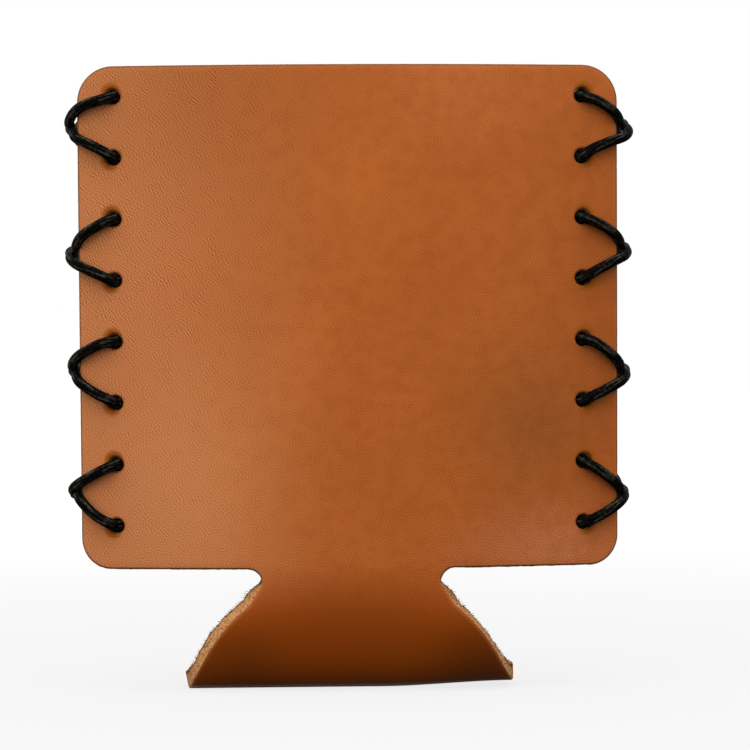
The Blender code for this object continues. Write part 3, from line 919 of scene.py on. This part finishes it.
def lace_piece(node, word, line, material, crossing=False):
    """A part of a lace: a cord along a line, with a map of its angle and length for the braid."""
    radius, squash = lace_radii(line, crossing)
    places, faces = tube(line, radius, LACE_SIDES, squash[:, None])
    mesh = bpy.data.meshes.new(f"{node}_{word}")
    mesh.from_pydata(places.tolist(), [], faces)
    run = run_along(line) * 1000
    share = np.broadcast_to(np.arange(LACE_SIDES) / LACE_SIDES, (len(line) - 1, LACE_SIDES))
    share_after = share + 1 / LACE_SIDES
    low = np.broadcast_to(run[:-1, None], share.shape)
    high = np.broadcast_to(run[1:, None], share.shape)
    uv = np.stack([share, low, share_after, low, share_after, high, share, high], axis=-1).reshape(-1)
    uv = np.concatenate([uv, np.tile([0.5, 0.0], LACE_SIDES), np.tile([0.5, run[-1]], LACE_SIDES)])
    layer = mesh.uv_layers.new(name="braid")
    layer.data.foreach_set("uv", uv.astype(np.float32))
    mesh.polygons.foreach_set("use_smooth", np.ones(len(faces), bool))
    mesh.materials.append(material)
    mesh.update()
    piece = placed(mesh)
    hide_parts(node)
    return piece


def bend_between(piece):
    """Bakes a piece's placement into its mesh."""
    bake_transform(piece)


def build_laces():
    elastic = elastic_material()
    sides = ((FRONT, "front"), (BACK, "back"))
    for hand, node in ((LEFT, "lace_left"), (RIGHT, "lace_right")):
        for crossing in range(HOLE_ROWS // 2):
            for side, body in sides:
                line = crossing_line(hand, crossing, side)
                strand = lace_piece(node, f"{body}_strand_{crossing + 1}", line, elastic, True)
                bend_between(strand)
        bend_between(lace_piece(node, "bridge", bridge_line(hand), elastic))
        for side, body in sides:
            for row in range(1, HOLE_ROWS - 1, 2):
                line = inside_line(hand, side, row)
                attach(lace_piece(node, f"{body}_run_{row}", line, elastic), body)
            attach(lace_piece(node, f"{body}_knot", knot_line(hand, side), elastic), body)


class Value:
    """A node's output, so that sums and products over a surface are written as such."""

    def __init__(self, tree, socket):
        self.tree = tree
        self.socket = socket

    def __add__(self, other):
        return calc("ADD", self, other)

    def __sub__(self, other):
        return calc("SUBTRACT", self, other)

    def __mul__(self, other):
        return calc("MULTIPLY", self, other)


def fill(node, inputs):
    """Sets a node's inputs: another node's output is linked, and any other value is set."""
    for key, value in inputs.items():
        if isinstance(value, Value):
            value.tree.links.new(value.socket, node.inputs[key])
        else:
            node.inputs[key].default_value = value


def add(tree, kind, inputs=None, output=0, **settings):
    """Adds a node and gives one of its outputs."""
    node = tree.nodes.new("ShaderNode" + kind)
    for key, value in settings.items():
        setattr(node, key, value)
    fill(node, inputs or {})
    return Value(tree, node.outputs[output])


def calc(operation, first, second=0.0):
    return add(first.tree, "Math", {0: first, 1: second}, operation=operation)


def blended(share, first, second, kind="MIX"):
    """Two colours mixed; each is an output or a linear RGB."""
    tree = (share if isinstance(share, Value) else first).tree
    colours = [c if isinstance(c, Value) else (*c, 1) for c in (first, second)]
    inputs = {0: share, 6: colours[0], 7: colours[1]}
    return add(tree, "Mix", inputs, 2, data_type="RGBA", blend_type=kind)


def ranged(value, low, high, bottom=0, top=1):
    inputs = {"Value": value, "From Min": low, "From Max": high, "To Min": bottom, "To Max": top}
    return add(value.tree, "MapRange", inputs, interpolation_type="SMOOTHSTEP")


def grain_noise(place, scale, detail=2.0, roughness=0.5, distortion=0.0):
    inputs = {"Vector": place, "Scale": scale, "Detail": detail, "Roughness": roughness}
    return add(place.tree, "TexNoise", {**inputs, "Distortion": distortion})


def banded_noise(place, scale, waves, aligned):
    """Noise of one wavelength, from waves that lie alike (1) or every way (0), about zero."""
    inputs = {"Vector": place, "Scale": scale, "Frequency": waves, "Anisotropy": aligned}
    return add(place.tree, "TexGabor", {**inputs, "Orientation": RIPPLE_TURN}, "Value") - 0.5


def parts(place):
    """The three parts of a place."""
    return [add(place.tree, "SeparateXYZ", {0: place}, axis) for axis in range(3)]


def moved(place, operation, by):
    return add(place.tree, "VectorMath", {0: place, 1: by}, operation=operation)


def length_of(place):
    return add(place.tree, "VectorMath", {0: place}, "Value", operation="LENGTH")


def cloud(place, centre, reach):
    """1 at a place on the blank, fading to 0 at its reach across and along."""
    off = moved(place, "SUBTRACT", (*centre, 0))
    return ranged(length_of(moved(off, "MULTIPLY", (1 / reach[0], 1 / reach[1], 0))), 0, 1, 1, 0)


def new_material(name):
    material = bpy.data.materials.new(name)
    material.use_nodes = True
    return material, material.node_tree


def flat_place(tree):
    """The place on the flat blank in mm: across, along and depth."""
    store = add(tree, "Attribute", output="Vector", attribute_name="flat")
    return add(tree, "VectorMath", {0: store, "Scale": 1000.0}, operation="SCALE")


def mapped(tree, name):
    """A number that the mesh holds for each of its points."""
    return add(tree, "Attribute", output="Fac", attribute_name=name)


def finish_surface(tree, colour, roughness, relief, specular, depth, strength=1.0, sheen=None):
    """Fills the shader; what is the same all over goes on its own sockets."""
    bump = add(tree, "Bump", {"Height": relief, "Strength": strength, "Distance": depth})
    inputs = {"Base Color": colour, "Roughness": roughness, "Specular IOR Level": specular, "Normal": bump}
    fill(tree.nodes["Principled BSDF"], inputs | (sheen or {}))


def grain_material():
    """Vegetable-tanned grain: fine slanted wrinkles, pores, uneven dye, darkened brink and holes, with
    painted light, shade and sheen.
    """
    material, tree = new_material("cognac_grain")
    place = flat_place(tree)
    across, along, _ = parts(place)
    along = calc("ABSOLUTE", along)
    half = add(tree, "CombineXYZ", {0: across, 1: along})

    drawn = ranged(across, *RIPPLES_ACROSS) * ranged(along, *RIPPLES_ALONG)
    drawn = drawn * ranged(grain_noise(place, BREAK_SCALE), *RIPPLE_BREAKS)
    ripples = banded_noise(place, RIPPLE_SCALE, RIPPLE_WAVES, RIPPLE_ALIGNED) * drawn
    pores = banded_noise(place, PORE_SCALE, PORE_WAVES, PORE_ALIGNED) * ranged(along, *PORES_ALONG)
    height = (ripples + pores) * ranged(along, *GRAIN_ALONG) * GRAIN_GAIN + 0.5

    patches = grain_noise(place, *PATCH_NOISE)
    mottle = grain_noise(place, *MOTTLE_NOISE)
    colour = blended(ranged(patches, *PATCH_SPREAD), LEATHER_DEEP, LEATHER_WARM)
    colour = blended(ranged(mottle, *RED_SPREAD), colour, LEATHER_RED)
    # Painted sheen: the left of the panel paler and greyer, as the light from the left makes it, its border
    # swayed by the patches
    colour = blended(ranged(patches * PATCH_SWAY + across, *PAINTED_SHEEN_ACROSS), colour, LEATHER_PAINTED_SHEEN)
    # Painted shade that darkens the base towards the fold, and a painted reflection on the fold's bottom
    for painted_tone, reach in PAINTED_LIGHT_ALONG:
        colour = blended(ranged(along, *reach), colour, painted_tone)
    # Painted light and shade in clouds: haze where the light glances off, shade on the right and on the base
    for centre, reach, tint in PAINTED_LIGHT_CLOUDS:
        colour = blended(cloud(half, centre, reach), colour, tint, "MULTIPLY")
    # Painted highlight and shade on the grain: ridges tinted paler and greyer, furrows darker, in place of
    # light on the relief
    colour = blended(1.0, colour, blended(height, FURROW_PAINTED_SHADE, RIDGE_PAINTED_HIGHLIGHT), "MULTIPLY")
    colour = blended(ranged(grain_noise(place, *SPECK_NOISE), *SPECK_SPREAD), colour, LEATHER_DARK)
    stain = mapped(tree, "stain") * ranged(mottle, *STAIN_MOTTLE)
    colour = blended(ranged(stain, *STAIN_EDGE), colour, STAIN_ORANGE)
    colour = blended(ranged(stain, *STAIN_CORE), colour, STAIN_BROWN)
    ragged = grain_noise(place, RAG_SCALE) * RAG_SHARE + mapped(tree, "brink")
    # Painted highlight on the rounded brink: a pale pink line along the cut
    colour = blended(ranged(ragged, *BRINK_HIGHLIGHT_SPREAD), colour, BRINK_PAINTED_HIGHLIGHT)
    dark = ranged(ragged, *BRINK_LINE) * ranged(along, *BRINK_ALONG)
    colour = blended(dark, colour, BRINK_DARK)
    gloss = ranged(height, *GRAIN_GLOSS) + ranged(patches, *PATCH_GLOSS)
    finish_surface(tree, colour, gloss, height, *GRAIN_SURFACE, sheen=GRAIN_SHEEN)
    return material


def cut_edge_material():
    """Raw cut leather: pale tangled fibre, a dark line under the grain and a ragged flesh side."""
    material, tree = new_material("raw_cut_edge")
    place = flat_place(tree)
    _, along, lift = parts(place)
    coarse = grain_noise(place, *EDGE_COARSE)
    fine = grain_noise(place, *EDGE_FINE)
    mixed = coarse * EDGE_COARSE_SHARE + fine * (1 - EDGE_COARSE_SHARE)
    colour = blended(ranged(mixed, *EDGE_SPREAD), EDGE_SHADE, EDGE_TAN)
    colour = blended(ranged(fine, *EDGE_PALE_SPREAD), colour, EDGE_PALE)
    under = ranged(lift + coarse * EDGE_LINE_SWAY, *EDGE_LINE)
    colour = blended(under * ranged(calc("ABSOLUTE", along), *BRINK_ALONG), colour, BRINK_DARK)
    colour = blended(ranged(lift - coarse * EDGE_FOOT_SWAY, *EDGE_FOOT), colour, EDGE_BROWN)
    colour = blended(ranged(grain_noise(place, *EDGE_SPECKS), *EDGE_SPECK_SPREAD), colour, EDGE_BROWN)
    finish_surface(tree, colour, EDGE_DULLNESS, mixed, *EDGE_SURFACE)
    return material


def flesh_material():
    """The flesh side: a short felted nap, paler where it is rubbed."""
    material, tree = new_material("flesh_side")
    place = flat_place(tree)
    spun = add(tree, "VectorRotate", {"Vector": place, "Angle": NAP_TURN})
    nap = grain_noise(moved(spun, "MULTIPLY", NAP_STRETCH), *NAP_NOISE)
    colour = blended(ranged(nap, *NAP_SPREAD), FLESH_DARK, FLESH_PALE)
    colour = blended(ranged(grain_noise(place, *FLESH_CLOUDS), *FLESH_SPREAD), colour, EDGE_BROWN)
    finish_surface(tree, colour, FLESH_DULLNESS, nap, *FLESH_SURFACE, sheen=FLESH_SHEEN)
    return material


def fibre_material():
    """Loose leather fibre, dyed unevenly along its length."""
    material, tree = new_material("leather_fibre")
    tone = grain_noise(add(tree, "TexCoord", output="Object"), FIBRE_TONES)
    colour = blended(ranged(tone, *FIBRE_TONE_SPREAD), FIBRE_COLOUR, EDGE_SHADE)
    finish_surface(tree, colour, ranged(tone, *FIBRE_GLOSS), tone, *FIBRE_SURFACE)
    return material


def elastic_material():
    """Black braided elastic: sixteen strands that cross in long diamonds, faintly fuzzy."""
    material, tree = new_material("black_elastic_braid")
    around, run, _ = parts(add(tree, "UVMap", uv_map="braid"))
    turns = around * (BRAID_STRANDS / 2)
    lengths = calc("DIVIDE", run, BRAID_PITCH * 1000)
    leans = (turns + lengths, turns - lengths)
    one_way, other_way = (calc("SINE", lean * (2 * math.pi)) for lean in leans)
    drawn = add(tree, "CombineXYZ", {0: around * BRAID_LINES[0], 1: run * BRAID_LINES[1]})
    fibres = grain_noise(drawn, *BRAID_NOISE)
    height = one_way * other_way * BRAID_RELIEF + fibres
    # Pale lines along the cord: the braid's lighter fibres, and a painted sheen in place of its highlight
    colour = blended(ranged(height, *BRAID_SPREAD), ELASTIC_DARK, ELASTIC_FIBRES_AND_PAINTED_SHEEN)
    finish_surface(tree, colour, ranged(fibres, *BRAID_GLOSS), height, *BRAID_SURFACE)
    return material


def background_rays(tree):
    """1 for the rays that show the background: from the camera, in gloss and through glass."""
    camera, glossy, through = (
        add(tree, "LightPath", output=f"Is {kind} Ray") for kind in ("Camera", "Glossy", "Transmission")
    )
    return calc("MAXIMUM", camera, calc("MAXIMUM", glossy, through)), camera


def floor_material():
    """A white studio floor: the camera sees it near white, with the shadow of what stands on it; reflections
    see it near white with a painted shadow near the object.
    """
    material, tree = new_material("studio_floor")
    tree.nodes.remove(tree.nodes["Principled BSDF"])
    seen, camera = background_rays(tree)
    away = length_of(add(tree, "TexCoord", output="Object"))
    # Painted shadow: the floor that reflections see is darkened near the object
    painted_shadow = ranged(away, *FLOOR_PAINTED_SHADOW_FADE, FLOOR_PAINTED_SHADOW_LEVEL)
    level = ranged(away, *FLOOR_FADE, FLOOR_GLOW) * calc("MAXIMUM", camera, painted_shadow)
    glow = add(tree, "Emission", {"Color": (1, 1, 1, 1), "Strength": level})
    matt = add(tree, "BsdfDiffuse", {"Color": (*FLOOR_GREY, 1)})
    pale = add(tree, "AddShader", {0: glow, 1: matt})
    fill(tree.nodes["Material Output"], {"Surface": add(tree, "MixShader", {0: seen, 1: matt, 2: pale})})
    return material


def add_camera():
    data = bpy.data.cameras.new("camera")
    data.lens = CAMERA_LENS
    data.sensor_width = CAMERA_SENSOR
    camera = placed(data)
    camera.location = CAMERA_PLACE
    yaw, pitch, roll = (math.radians(angle) for angle in CAMERA_TURNS)
    forward = Vector((math.sin(yaw) * math.cos(pitch), math.cos(yaw) * math.cos(pitch), math.sin(pitch)))
    right = Vector((math.cos(yaw), -math.sin(yaw), 0))
    up = right.cross(forward)
    turned_right = right * math.cos(roll) + up * math.sin(roll)
    turned_up = up * math.cos(roll) - right * math.sin(roll)
    camera.rotation_euler = Matrix((turned_right, turned_up, -forward)).transposed().to_euler()
    bpy.context.scene.camera = camera


def add_floor():
    bpy.ops.mesh.primitive_plane_add(size=FLOOR_SIZE, location=(0, 0, 0))
    floor = bpy.context.object
    floor.name = "floor"
    floor.data.materials.append(floor_material())


def add_lamp(name, azimuth, elevation, distance, size, power):
    data = bpy.data.lights.new(name, "AREA")
    data.size = size
    data.energy = power
    lamp = placed(data)
    turn, rise = math.radians(azimuth), math.radians(elevation)
    towards = Vector((math.sin(turn) * math.cos(rise), -math.cos(turn) * math.cos(rise), math.sin(rise)))
    lamp.location = LAMP_AIM + towards * distance
    lamp.rotation_euler = towards.to_track_quat("Z", "Y").to_euler()


def add_lights():
    for name, settings in LAMPS.items():
        add_lamp(name, *settings)
    world = bpy.data.worlds.new("studio")
    world.use_nodes = True
    tree = world.node_tree
    seen = ranged(background_rays(tree)[0], 0, 1, SKY_LEVEL)
    fill(tree.nodes["Background"], {"Color": (1, 1, 1, 1), "Strength": seen})
    bpy.context.scene.world = world


sleeve = build_leather()
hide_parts("leather_front", "leather_back")
bend_between(sleeve)
fibres = flesh_fibres()
bend_between(fibres)
build_laces()
add_camera()
add_floor()
add_lights()
bpy.context.scene.view_settings.view_transform = "Standard"
